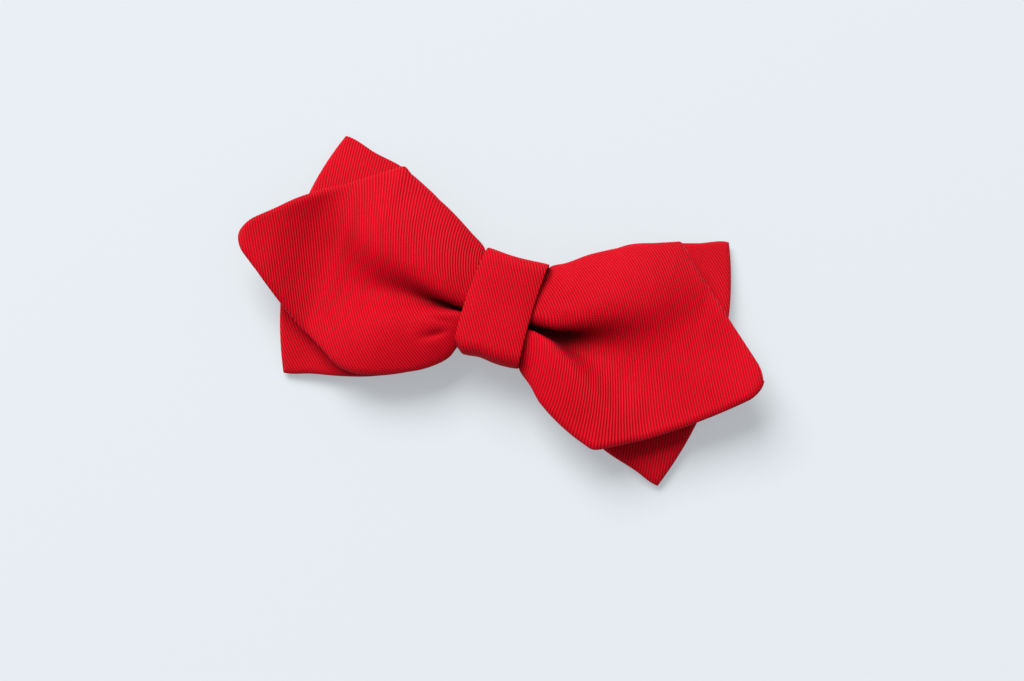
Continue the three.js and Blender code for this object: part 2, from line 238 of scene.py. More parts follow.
@dataclass(frozen=True)
class Cut:
    """A cloth as it is cut, before it is made up.

    Attributes:
        width: In metres.
        length: In metres.
        area: In square metres, where its outline isn't a rectangle.
    """

    width: float
    length: float
    area: Optional[float] = None

    def trimmed(self, share: float) -> "Cut":
        """The same outline at a share of its size each way."""
        area = None if self.area is None else share * share * self.area
        return Cut(share * self.width, share * self.length, area)

    def declare(self, piece: bpy.types.Object, held: str, rests_on: tuple[str, ...]) -> None:
        """Does nothing: the piece is not declared as a sheet of this cut."""


# ------------------------------------------------------------------ finishes


class NodeSheet:
    """Builds a material's node tree with short calls."""

    def __init__(self, name: str) -> None:
        """Starts an empty material.

        Args:
            name: The material's name.
        """
        self.material = bpy.data.materials.new(name)
        self.material.use_nodes = True
        self.nodes = self.material.node_tree.nodes
        self.links = self.material.node_tree.links
        self.shader = self.nodes["Principled BSDF"]

    def add(self, kind: str, **settings: object) -> bpy.types.Node:
        """Adds a node and sets its properties."""
        node = self.nodes.new(kind)
        for key, value in settings.items():
            setattr(node, key, value)
        return node

    def plug(self, socket: bpy.types.NodeSocket, value: object) -> None:
        """Links a socket, or sets its plain value."""
        if isinstance(value, bpy.types.NodeSocket):
            self.links.new(value, socket)
        else:
            socket.default_value = value

    def math(self, operation: str, *values: object) -> bpy.types.NodeSocket:
        """One Math node's result.

        Args:
            operation: Blender's name of the sum, such as MULTIPLY.
            values: Sockets or numbers, in the node's own order.

        Returns:
            Its output socket.
        """
        node = self.add("ShaderNodeMath", operation=operation)
        for socket, value in zip(node.inputs, values):
            self.plug(socket, value)
        return node.outputs[0]

    def wave(self, phase: bpy.types.NodeSocket) -> bpy.types.NodeSocket:
        """A sine of the phase, from 0 to 1."""
        return self.math("MULTIPLY_ADD", self.math("SINE", phase), 0.5, 0.5)

    def cloth_map(self) -> tuple[bpy.types.NodeSocket, bpy.types.NodeSocket, bpy.types.NodeSocket]:
        """The cloth's own coordinates: both together, then across the ribs and along them."""
        cloth = self.add("ShaderNodeUVMap", uv_map="cloth").outputs["UV"]
        split = self.add("ShaderNodeSeparateXYZ")
        self.plug(split.inputs[0], cloth)
        return cloth, split.outputs[0], split.outputs[1]

    def noise(self, vector: object, scale: float, detail: float = 2, roughness: float = 0.5) -> object:
        """A noise texture's grey value on the given coordinates."""
        node = self.add("ShaderNodeTexNoise")
        self.plug(node.inputs["Vector"], vector)
        self.plug(node.inputs["Scale"], scale)
        self.plug(node.inputs["Detail"], detail)
        self.plug(node.inputs["Roughness"], roughness)
        return node.outputs["Fac"]

    def blend(self, share: object, first: object, second: object) -> bpy.types.NodeSocket:
        """A colour between two, by a share from 0 to 1."""
        node = self.add("ShaderNodeMix", data_type="RGBA")
        self.plug(node.inputs["Factor"], share)
        self.plug(node.inputs["A"], first)
        self.plug(node.inputs["B"], second)
        return node.outputs["Result"]

    def bump(self, height: object, distance: float, strength: float) -> object:
        """A bump's normal, where a height of 1 stands for that distance in millimetres."""
        node = self.add("ShaderNodeBump")
        self.plug(node.inputs["Height"], height)
        self.plug(node.inputs["Distance"], distance * MM)
        self.plug(node.inputs["Strength"], strength)
        return node.outputs["Normal"]

    def finish(self, inputs: dict[str, object]) -> bpy.types.Material:
        """Links or sets the shader's inputs, and gives the material."""
        for name, value in inputs.items():
            self.plug(self.shader.inputs[name], value)
        return self.material


@dataclass(frozen=True)
class TwillFinish:
    """Red cotton twill. The cloth map holds millimetres across its ribs and along them.

    Attributes:
        crest: Colour of a rib's top, linear: the red, lightened as a painted highlight on the rib.
        groove_shade: Colour between ribs: the red, darkened as painted shade between them.
        depth: Painted shade: the colour that the deepest folds darken towards.
        pitch: From rib to rib.
        float_length: Length of one yarn's float along a rib.
        relief: Depth of the grooves.
        wander: How far the ribs stray from straight, in radians of their wave.
        float_share: How much the floats stand out next to the ribs.
        fuzz_share: How much the fibres' fuzz does.
        contrast: The power of the height that narrows the bright crests.
        brightness: The crest's share in the colour at a height of 1.
        patchiness: How much that share changes from patch to patch.
    """

    crest: tuple[float, float, float] = (0.52, 0.0009, 0.0098)
    groove_shade: tuple[float, float, float] = (0.225, 0.00015, 0.0023)
    depth: tuple[float, float, float] = (0.07, 0.0001, 0.0006)
    pitch: float = 0.585
    float_length: float = 0.46
    relief: float = 0.16
    wander: float = 1.6
    float_share: float = 0.12
    fuzz_share: float = 0.7
    contrast: float = 1.9
    brightness: float = 0.6
    patchiness: float = 0.5

    def material(self) -> bpy.types.Material:
        """Builds the twill.

        Ribs are a sine across the cloth, wandering a little with a slow noise. Along each rib a second,
        slanting sine marks its floats. Fibre fuzz is a fine noise over both.
        """
        sheet = NodeSheet("red_twill")
        cloth, across, along = sheet.cloth_map()
        stray = sheet.math("SUBTRACT", sheet.noise(cloth, 0.55, 2), 0.5)
        ribs = sheet.math("MULTIPLY", across, 2 * math.pi / self.pitch)
        phase = sheet.math("ADD", ribs, sheet.math("MULTIPLY", stray, self.wander))
        run = sheet.math("MULTIPLY", along, 2 * math.pi / self.float_length)
        floats = sheet.wave(sheet.math("MULTIPLY_ADD", phase, 0.5, run))
        fuzz = sheet.noise(cloth, 3.6, 3, 0.6)
        fuzzy = sheet.math("MULTIPLY_ADD", fuzz, self.fuzz_share, sheet.wave(phase))
        height = sheet.math("MULTIPLY_ADD", floats, self.float_share, fuzzy)
        narrow = sheet.math("MULTIPLY", sheet.math("POWER", height, self.contrast), self.brightness)
        patches = sheet.math("SUBTRACT", sheet.noise(cloth, 0.09, 3, 0.55), 0.5)
        tone = sheet.math("MULTIPLY_ADD", patches, self.patchiness, narrow)
        # The ribs and floats are the cloth's own pattern; their lighter crests and darker grooves are painted
        # highlight and painted shade.
        colour = sheet.blend(tone, (*self.groove_shade, 1), (*self.crest, 1))
        # Painted shade: deep folds darken the colour towards the depth colour.
        fold_shade = sheet.add("ShaderNodeAttribute", attribute_name="fold_shade").outputs["Fac"]
        return sheet.finish({
            "Base Color": sheet.blend(fold_shade, colour, (*self.depth, 1)),
            "Roughness": sheet.math("MULTIPLY_ADD", fuzz, 0.15, 0.5),
            "Specular IOR Level": 0.055,
            "Sheen Weight": 0.04,
            "Sheen Roughness": 0.45,
            "Sheen Tint": (1.0, 0.15, 0.32, 1),
            "Normal": sheet.bump(height, self.relief, 0.85),
        })


@dataclass(frozen=True)
class InterliningFinish:
    """Undyed plain-weave interlining.

    Attributes:
        colour: The yarn's colour, linear.
        shade: The share of it left between threads.
        pitch: From thread to thread.
    """

    colour: tuple[float, float, float] = (0.72, 0.69, 0.6)
    shade: float = 0.72
    pitch: float = 0.6

    def material(self) -> bpy.types.Material:
        """Builds the plain weave: the product of two sines, one each way."""
        sheet = NodeSheet("undyed_interlining")
        cloth, *ways = sheet.cloth_map()
        turn = math.pi / self.pitch
        threads = [sheet.math("SINE", sheet.math("MULTIPLY", way, turn)) for way in ways]
        weave = sheet.math("MULTIPLY_ADD", sheet.math("MULTIPLY", *threads), 0.5, 0.5)
        height = sheet.math("MULTIPLY_ADD", sheet.noise(cloth, 4, 3), 0.5, weave)
        dark = tuple(self.shade * part for part in self.colour)
        return sheet.finish({
            "Base Color": sheet.blend(height, (*dark, 1), (*self.colour, 1)),
            "Roughness": 0.9,
            "Normal": sheet.bump(height, 0.12, 0.8),
        })


@dataclass(frozen=True)
class SteelFinish:
    """Plated or drawn steel.

    Attributes:
        name: The material's name.
        colour: Its reflectance, linear.
        roughness: The lower end of its roughness.
        grain: How much finer its marks are across than along.
        dulled: The share of its reflectance left in a dull patch.
    """

    name: str
    colour: tuple[float, float, float]
    roughness: float
    grain: float = 6.0
    dulled: float = 0.82

    def material(self) -> bpy.types.Material:
        """Builds bright steel with handling marks: a stretched fine noise and a few broad dull patches."""
        sheet = NodeSheet(self.name)
        coords = sheet.add("ShaderNodeTexCoord").outputs["Object"]
        mapping = sheet.add("ShaderNodeMapping")
        sheet.plug(mapping.inputs["Vector"], coords)
        sheet.plug(mapping.inputs["Scale"], (1 / MM, self.grain / MM, self.grain / MM))
        scratches = sheet.noise(mapping.outputs["Vector"], 0.7, 4, 0.6)
        patches = sheet.noise(coords, 160, 2)
        worn = sheet.math("MULTIPLY_ADD", scratches, 0.14, sheet.math("MULTIPLY", patches, 0.16))
        dull = tuple(self.dulled * part for part in self.colour)
        return sheet.finish({
            "Base Color": sheet.blend(patches, (*self.colour, 1), (*dull, 1)),
            "Metallic": 1.0,
            "Roughness": sheet.math("ADD", worn, self.roughness),
            "Normal": sheet.bump(scratches, 0.01, 0.4),
        })


@dataclass(frozen=True)
class TableFinish:
    """The pale matt table top, bright enough that shadows on it stay light.

    Attributes:
        colour: Its reflectance, linear.
        glow: The share of that which it gives off by itself.
    """

    colour: tuple[float, float, float] = (0.231, 0.246, 0.259)
    glow: float = 1.5

    def material(self) -> bpy.types.Material:
        """Builds the matt surface, with a faint tooth."""
        sheet = NodeSheet("pale_table")
        coords = sheet.add("ShaderNodeTexCoord").outputs["Object"]
        tooth = sheet.noise(coords, 900, 3)
        return sheet.finish({
            "Base Color": (*self.colour, 1),
            "Emission Color": (*self.colour, 1),
            "Emission Strength": self.glow,
            "Roughness": 0.85,
            "Specular IOR Level": 0.2,
            "Normal": sheet.bump(tooth, 0.05, 0.25),
        })


# ------------------------------------------------------------------ cloth surfaces

Curve = list[tuple[float, float]]


@dataclass(frozen=True)
class Place:
    """Where the knot and clip sit, read from the frame, in millimetres.

    Attributes:
        x: The knot's middle along the bow.
        y: Its middle across the bow.
        half_width: Half its width along the bow.
        half_height: Half its height across the bow.
        front: The height of its face above the table.
    """

    x: float
    y: float
    half_width: float
    half_height: float
    front: float

    @classmethod
    def of_knot(cls) -> "Place":
        """Reads the knot band's box from the frame."""
        low, high = (np.array(corner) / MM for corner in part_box("knot_band"))
        middle, half = (low + high) / 2, (high - low) / 2
        return cls(middle[0], middle[1], half[0], half[1], high[2])


@dataclass(frozen=True)
class Shoulder:
    """One corner of the front bow's outline.

    Attributes:
        x: How far out it stands from the tie's middle.
        y: How high it stands from the knot's middle.
        bow: How far the edge from it to the tip bows outwards.
        soft: How softly it is turned.
        tip: How high the edge stands where it meets the tip's end.
        neck: How high the edge stands where it comes out of the knot.
        opening: Its height from there to the shoulder, at distances from the knot's middle.
    """

    x: float
    y: float
    bow: float
    soft: float
    tip: float
    neck: float
    opening: Curve


@dataclass(frozen=True)
class Fold:
    """A soft valley pressed into a bow.

    Attributes:
        start: Where it begins, from the knot's middle.
        heading: Its direction in degrees, counterclockwise from +X.
        length: How far it runs.
        depth: Its depth where it is deepest. A negative depth is a ridge.
        width: Its half width at its two ends.
        bend: How far its far end swings to the left of its heading.
        peak: The share of its length at which it is deepest.
    """

    start: tuple[float, float]
    heading: float
    length: float
    depth: float
    width: tuple[float, float]
    bend: float = 0.0
    peak: float = 0.4

    def drop(self, x: np.ndarray, y: np.ndarray) -> np.ndarray:
        """How far the fold lowers each point.

        Along its line the depth eases up to its peak and back to nothing. Across it, the depth falls off as
        one over one plus the square of the distance in half widths, all squared.

        Args:
            x: Points along the bow, from the knot's middle.
            y: Points across it.

        Returns:
            The drop at each point.
        """
        turn = math.radians(self.heading)
        ahead = (x - self.start[0]) * math.cos(turn) + (y - self.start[1]) * math.sin(turn)
        aside = (y - self.start[1]) * math.cos(turn) - (x - self.start[0]) * math.sin(turn)
        share = ahead / self.length
        held = np.clip(share, 0, 1)
        aside = aside - self.bend * held * held
        width = self.width[0] + (self.width[1] - self.width[0]) * held
        rise = ease(share, 0, self.peak) * (1 - ease(share, self.peak, 1))
        return self.depth * rise / (1 + (aside / width) ** 2) ** 2


@dataclass(frozen=True)
class Relief:
    """How one wing of the front bow stands up: two lobes, and between them a trough that opens into the tip.

    Each curve is a list of (distance from the knot's middle, value).

    Attributes:
        upper_edge: Height of the upper edge as far as the lobes reach.
        lower_edge: Height of the lower edge.
        upper_crest: Height of the upper lobe.
        lower_crest: Height of the lower lobe.
        floor: Height of the trough's floor, and beyond the lobes of the whole tip.
        upper_rim: How much higher the floor stands at the upper edge.
        lower_rim: And at the lower edge.
        upper_flank: Where across the bow the upper lobe falls away to the trough.
        upper_soft: How wide that fall is.
        lower_flank: Where the lower lobe does.
        lower_soft: How wide that fall is.
        overhang: How far the upper lobe leans over the trough.
    """

    upper_edge: Curve
    lower_edge: Curve
    upper_crest: Curve
    lower_crest: Curve
    floor: Curve
    upper_rim: Curve
    lower_rim: Curve
    upper_flank: Curve
    upper_soft: Curve
    lower_flank: Curve
    lower_soft: Curve
    overhang: Curve

    def at(self, reach: np.ndarray) -> dict[str, np.ndarray]:
        """Every curve's values at these distances from the knot's middle, by the curve's name."""
        return {name: smooth_curve(reach, curve) for name, curve in vars(self).items()}


class Side(Enum):
    """Which wing of the bow."""

    LEFT = -1
    RIGHT = 1


class Layer(Enum):
    """Which cloth of a bow's bag, by the way its outside faces."""

    FACE = 1
    BACK = -1


@dataclass
class Bow:
    """A bag of two cloth layers, pinched by the knot. Its face is a grid of columns and rows.

    Attributes:
        knot: Where it is pinched.
        name: The frame's name for it.
        cut: Its strip, laid flat.
        rests_on: What its back lies on.
        bridged: How far round a fold its interlining lies flat, along the middle of the bow.
        loft: Half the bag's thickness.
        pressed: The share of that left at the knot.
        edge_round: How far in from its edge the bag reaches that thickness.
        cloth: Thickness of one layer.
        lining: Thickness of the interlining.
        lining_margin: How far in from the edge the interlining stops.
        lining_share: The interlining's cut, as a share of the strip's each way.
        steps: Columns in each wing, and rows.
        crowding: The power by which the columns crowd together towards the ends.
        end_columns: How many columns at each end are too crowded to have a normal of their own.
        grain_steps: Columns and rows of the coarse grid on which the grain is worked out.
        rib_angle: The ribs' direction where the cloth lies flat, in degrees from +X.
        sky_far: How far off the cloth still hides the sky.
        fold_shade_span: The shares of hidden sky at which the painted fold shade starts to show and is full.
        across: The rows' places, from -1 at the lower edge to 1 at the upper. Worked out, like the rest.
        points: The face's points, (columns, rows, 3).
        edge_distance: Each point's distance from the outline.
        grain: The cloth's own coordinates at each point.
        fold_shade: How deep in a fold each point lies, from 0 to 1: the share of painted shade in its colour.
    """

    knot: Place
    name: str
    cut: Cut
    rests_on: tuple[str, ...]
    bridged: float = 0.0
    loft: float = 1.0
    pressed: float = 0.6
    edge_round: float = 1.5
    cloth: float = 0.42
    lining: float = 0.25
    lining_margin: float = 1.8
    lining_share: float = 0.9
    steps: tuple[int, int] = (160, 120)
    crowding: float = 1.3
    end_columns: int = 4
    grain_steps: tuple[int, int] = (91, 25)
    rib_angle: float = 118.0
    sky_far: float = 14.0
    fold_shade_span: tuple[float, float] = (0.05, 0.6)
    across: np.ndarray = field(init=False)
    points: np.ndarray = field(init=False)
    edge_distance: np.ndarray = field(init=False)
    grain: np.ndarray = field(init=False)
    fold_shade: np.ndarray = field(init=False)

    def half_height(self, side: Side, reach: np.ndarray, upper: bool) -> np.ndarray:
        """Distance from the middle line to one edge. Each bow gives its own."""
        raise NotImplementedError

    def surface(self, side: Side, reach: np.ndarray, across: np.ndarray) -> np.ndarray:
        """The face's points. Each bow gives its own."""
        raise NotImplementedError

    def reach_end(self, side: Side) -> float:
        """How far from the knot's middle a wing's grid ends."""
        raise NotImplementedError

    def uncut_half_height(self, reach: np.ndarray) -> np.ndarray:
        """Half the height that the strip would have here if its end weren't cut to a point."""
        raise NotImplementedError

    def dress(self, twill: bpy.types.Material, interlining: bpy.types.Material) -> None:
        """Args:
            twill: The bag's finish.
            interlining: The interlining's.
        """
        self.lay_out()
        for which in Layer:
            piece = self.layer(which, twill)
            settle(piece, f"{self.name}_{which.name.lower()}")
            self.cut.declare(piece, "gathered", self.rests_on)
        stiffening = self.stiffening(interlining)
        settle(stiffening, f"{self.name}_interlining")
        self.cut.trimmed(self.lining_share).declare(stiffening, "gathered", self.rests_on)

    def lay_out(self) -> None:
        """Works out the face, and each point's distance from the edge, grain and the painted shade of its
        fold.
        """
        columns, rows = self.steps
        out = 1 - (1 - np.linspace(0, 1, columns + 1)) ** self.crowding
        self.across = np.sin(np.pi / 2 * np.linspace(-1, 1, rows + 1))
        halves = []
        for side in Side:
            reach = out * self.reach_end(side)
            grid = np.meshgrid(reach, self.across, indexing="ij")
            halves.append(self.surface(side, *grid))
        self.points = np.concatenate([halves[0][:0:-1], halves[1]])
        self.edge_distance = self.measure_edges()
        self.grain = self.follow_grain()
        # Painted shade in the folds, from how much of the sky the cloth hides from each point.
        self.fold_shade = ease(self.sky_lost(1) + 2 * self.sky_lost(0), *self.fold_shade_span)

    def sky_lost(self, along: int) -> np.ndarray:
        """The share of the sky that the cloth itself hides from each point, in one of the grid's directions.

        On both sides of the point, the steepest line of sight that meets the cloth is the horizon. The share
        left between the two horizons is the mean of their cosines.

        Args:
            along: 0 to look along the bow, 1 to look across it.

        Returns:
            The share hidden from each point, (columns, rows).
        """
        grid = self.points if along else self.points.transpose(1, 0, 2)
        place, z = grid[..., along], grid[..., 2]
        gap = np.abs(place[:, None, ::2] - place[:, :, None])
        slope = np.where(gap < self.sky_far, (z[:, None, ::2] - z[:, :, None]) / (gap + 0.2), 0)
        number = np.arange(place.shape[1])
        before = number[None, ::2] < number[:, None]
        horizons = [np.maximum(np.where(way, slope, 0).max(axis=2), 0) for way in (before, ~before)]
        lost = 1 - sum(1 / np.hypot(1, horizon) for horizon in horizons) / 2
        return lost if along else lost.T

    def measure_edges(self) -> np.ndarray:
        """Distance of each point, seen from above, from the nearest point of the outline."""
        plan = self.points[..., :2]
        rim = np.concatenate([plan[:, 0], plan[-1], plan[::-1, -1], plan[0, ::-1]])
        start, step = rim[:-1], np.diff(rim, axis=0)
        keep = (step**2).sum(-1) > 1e-12
        start, step = start[keep], step[keep]
        length = (step**2).sum(-1)
        result = np.empty(plan.shape[:2])
        for i, column in enumerate(plan):
            off = column[:, None] - start[None]
            share = np.clip((off * step).sum(-1) / length, 0, 1)
            gap = off - share[..., None] * step
            result[i] = np.sqrt((gap**2).sum(-1).min(axis=1))
        return result

    def thread_ways(self, points: np.ndarray, step: float = 0.5) -> list[np.ndarray]:
        """The directions across the ribs and along them, at a grid of points on the face.

        The threads fan out of the knot: at each point they run along the line that keeps its share of the
        uncut strip's height. The ribs cross them at a fixed angle.

        Args:
            points: The grid, (columns, rows, 3).
            step: How far on the strip's height is looked up to tell how it opens.

        Returns:
            Two arrays of unit vectors, like points.
        """
        normal = normals_of(points)
        reach = points[..., 0] - self.knot.x
        height = points[..., 1] - self.knot.y
        uncut = self.uncut_half_height(np.abs(reach))
        growth = (self.uncut_half_height(np.abs(reach) + step) - uncut) / step * np.sign(reach)
        fan = np.stack([np.ones_like(reach), height / uncut * growth, np.zeros_like(reach)], axis=-1)
        thread = fan - (fan * normal).sum(-1, keepdims=True) * normal
        thread /= np.linalg.norm(thread, axis=-1, keepdims=True)
        weft = np.cross(normal, thread)
        turn = math.radians(self.rib_angle - 90)
        return [
            math.cos(turn) * thread + math.sin(turn) * weft,
            math.cos(turn) * weft - math.sin(turn) * thread,
        ]

    def follow_grain(self) -> np.ndarray:
        """Lays the cloth's ribs on the surface: fitted on a coarse grid, then read off at every point.

        Returns:
            The cloth's coordinates across its ribs and along them, (columns, rows, 2), in millimetres.
        """
        columns, rows = (
            np.linspace(0, size - 1, steps).round().astype(int)
            for size, steps in zip(self.points.shape, self.grain_steps)
        )
        coarse = self.points[np.ix_(columns, rows)]
        solved = fit_coordinates(coarse, self.thread_ways(coarse))
        every = np.arange(len(self.points))
        by_column = np.stack([
            [np.interp(every, columns, solved[:, j, k]) for j in range(len(rows))] for k in range(2)
        ])
        places = self.across[rows]
        return np.stack([
            np.stack([np.interp(self.across, places, by_column[k, :, i]) for i in every])
            for k in range(2)
        ], axis=-1)

    def loft_at(self) -> np.ndarray:
        """Half the bag's thickness, pressed thinner at the knot, where the edge doesn't narrow it."""
        reach = np.abs(self.points[..., 0] - self.knot.x)
        free = ease(reach, self.knot.half_width, 3 * self.knot.half_width)
        return self.loft * (self.pressed + (1 - self.pressed) * free)

    def layer(self, which: Layer, material: bpy.types.Material) -> bpy.types.Object:
        """Makes one cloth layer as a closed shell.

        The bag's middle lies its half thickness under the face, along the face's normals. A layer's outside
        stands off that middle by the half thickness times a quarter of an ellipse, which rises from the seam
        at the edge, and its inside lies one cloth's thickness under that. The two meet at the seam.

        Args:
            which: The face or the back.
            material: Its twill.

        Returns:
            The piece.
        """
        normal = normals_of(self.points)
        normal[: self.end_columns] = normal[self.end_columns]
        normal[-self.end_columns :] = normal[-self.end_columns - 1]
        full = self.loft_at()
        inward = np.clip(self.edge_distance / self.edge_round, 0, 1)
        loft = full * np.sqrt(1 - (1 - inward) ** 2)
        middle = self.points - normal * full[..., None]
        outside = middle + which.value * normal * loft[..., None]
        inside = middle + which.value * normal * (loft - np.minimum(self.cloth, 0.8 * loft))[..., None]
        columns, rows = loft.shape
        outer = np.arange(loft.size).reshape(columns, rows)
        inner = outer.copy()
        inner[1:-1, 1:-1] = loft.size + np.arange((columns - 2) * (rows - 2)).reshape(columns - 2, rows - 2)
        points = np.concatenate([outside.reshape(-1, 3), inside[1:-1, 1:-1].reshape(-1, 3)])
        grain = np.concatenate([self.grain.reshape(-1, 2), self.grain[1:-1, 1:-1].reshape(-1, 2)])
        # The painted fold shade, on the face only.
        depth = self.fold_shade * (which is Layer.FACE)
        fold_shade = np.concatenate([depth.ravel(), depth[1:-1, 1:-1].ravel()])
        turned = which is Layer.BACK
        faces = np.concatenate([quads(outer, turned), quads(inner, not turned)])
        seam = np.zeros(len(points), dtype=bool)
        seam[np.concatenate([outer[0], outer[-1], outer[:, 0], outer[:, -1]])] = True
        name = f"{self.name}_{which.name.lower()}_cloth"
        return make_mesh(name, points, faces, material, grain, seam, fold_shade)

    def stiffening(self, material: bpy.types.Material, gap: float = 0.65) -> bpy.types.Object:
        """Makes the interlining: a thin sheet on the bag's middle, cut short of the seam.

        Along the middle of the bow it can hang instead under the lowest point of the face within the bridged
        distance, so that it lies flat under the sharpest folds.

        Args:
            material: Its finish.
            gap: How far under the face it hangs there.

        Returns:
            The piece.
        """
        columns = np.arange(10, len(self.points) - 10, 2)
        rows = np.linspace(-1, 1, 49)
        half = np.abs(self.points[columns, -1, 1] - self.points[columns, 0, 1]) / 2
        inside = rows[None, :] * (1 - self.lining_margin / half)[:, None]
        middle = self.points - normals_of(self.points) * self.loft_at()[..., None]
        stacked = np.concatenate([self.points, middle, self.grain], axis=-1)[columns]
        trimmed = np.stack([
            np.stack([np.interp(at, self.across, layer) for layer in column.T], axis=-1)
            for at, column in zip(inside, stacked)
        ])
        face, core, grain = trimmed[..., :3], trimmed[..., 3:6], trimmed[..., 6:]
        if self.bridged:
            cloud = self.points[::2, ::2].reshape(-1, 3)
            lowest = np.array([
                np.where(((at[:2] - cloud[:, :2]) ** 2).sum(-1) < self.bridged**2, cloud[:, 2], at[2]).min()
                for at in face.reshape(-1, 3)
            ]).reshape(face.shape[:2])
            level = np.minimum(core[..., 2], lowest - gap)
            hung = np.concatenate([face[..., :2], level[..., None]], axis=-1)
            central = (1 - ease(np.abs(rows), 0.35, 0.55))[None, :, None]
            core = core + (hung - core) * central
        normal = normals_of(core) * self.lining / 2
        top = np.arange(core[..., 0].size).reshape(core.shape[:2])
        under = top + top.size
        points = np.concatenate([(core + normal).reshape(-1, 3), (core - normal).reshape(-1, 3)])
        rim = [(top[:, 0], under[:, 0]), (under[:, -1], top[:, -1]), (under[0], top[0]), (top[-1], under[-1])]
        edges = [quads(np.stack(pair, axis=1), True) for pair in rim]
        faces = np.concatenate([quads(top), quads(under, True), *edges])
        grain = np.tile(grain.reshape(-1, 2), (2, 1))
        sharp = np.zeros(len(points), dtype=bool)
        sharp[np.concatenate([line for pair in rim for line in pair])] = True
        return make_mesh(f"{self.name}_stiffening", points, faces, material, grain, sharp)


LEFT_RELIEF = Relief(
    upper_edge=[(0, 9.3), (7.8, 9.2), (16, 9.2), (31, 9.4), (40, 10.4), (50, 11.8), (60, 12.6)],
    lower_edge=[(0, 9.3), (7.8, 9.2), (16, 9.8), (31, 9.4), (40, 9.0), (50, 10.6), (60, 12.4)],
    upper_crest=[
        (0, 11.6), (7.8, 12.5), (14, 14.0), (22, 14.8),
        (30, 14.4), (37, 13.2), (45, 12.0), (60, 12.6),
    ],
    lower_crest=[
        (0, 11.6), (7.8, 12.3), (14, 13.4), (22, 13.5),
        (30, 12.4), (37, 11.4), (45, 10.8), (60, 12.6),
    ],
    floor=[(0, 9.6), (7.8, 7.5), (14, 7.7), (20, 7.9), (32, 7.7), (40, 7.6), (54, 12.6), (60.8, 13.2)],
    upper_rim=[(0, 0), (36, 0), (44, 2.4), (50, 1.6), (57, 0.2), (60, 0.1)],
    lower_rim=[(0, 0), (36, 0), (44, 0.8), (52, 0.4), (60, 0.0)],
    upper_flank=[
        (0, -1.6), (8, -1.6), (14, -1.3), (20, -0.8), (28, -0.2),
        (33, 1.8), (38, 6.0), (41, 10.6), (44, 17), (47, 26),
    ],
    upper_soft=[
        (0, 0.25), (8, 0.25), (14, 0.5), (20, 1.0), (28, 1.7),
        (33, 2.4), (38, 3.4), (44, 5.5), (50, 8),
    ],
    lower_flank=[
        (0, -3.2), (8, -3.2), (14, -4.0), (20, -5.4), (26, -6.8),
        (31, -8.8), (35, -11.6), (38, -15), (42, -24),
    ],
    lower_soft=[(0, 0.3), (8, 0.4), (14, 1.0), (20, 1.9), (28, 2.4), (35, 3.6), (42, 6.0)],
    overhang=[(0, 0), (7.8, 1.2), (14, 1.0), (22, 0.4), (30, 0)],
)
RIGHT_RELIEF = Relief(
    upper_edge=[(0, 9.3), (7.8, 9.2), (16, 9.6), (31, 10.6), (45, 11.6), (60, 12.6)],
    lower_edge=[(0, 9.3), (7.8, 9.4), (16, 10.6), (31, 11.6), (45, 11.8), (60, 12.6)],
    upper_crest=[
        (0, 11.6), (7.8, 12.5), (14, 14.0), (22, 14.8),
        (30, 14.4), (38, 13.4), (46, 12.4), (60, 12.6),
    ],
    lower_crest=[
        (0, 11.6), (7.8, 12.3), (14, 13.6), (22, 13.8),
        (30, 13.0), (38, 12.2), (46, 11.8), (60, 12.6),
    ],
    floor=[
        (0, 8.4), (7.8, 7.3), (14, 7.4), (19, 7.9), (26, 8.6),
        (32, 9.2), (42, 10.2), (50, 11.2), (60, 12.7),
    ],
    upper_rim=[(0, 0), (60, 0)],
    lower_rim=[(0, 0), (60, 0)],
    upper_flank=[
        (0, -0.9), (7.5, -0.9), (12, -0.4), (18, 0.8), (25, 2.2),
        (30, 3.6), (35, 6.0), (38, 9), (41, 14), (44, 22),
    ],
    upper_soft=[
        (0, 0.25), (7.5, 0.25), (12, 0.35), (18, 0.8), (25, 1.6),
        (30, 2.2), (35, 3.0), (41, 5.0), (46, 8),
    ],
    lower_flank=[
        (0, -2.9), (7.5, -2.9), (12, -3.8), (18, -6.2), (22, -8.0),
        (26, -10.2), (30, -13.4), (34, -18), (38, -24),
    ],
    lower_soft=[(0, 0.25), (7.5, 0.25), (12, 0.4), (18, 1.0), (25, 2.2), (30, 3.2), (36, 5.0)],
    overhang=[(0, 0), (7.8, 1.0), (14, 1.8), (22, 1.0), (32, 0)],
)


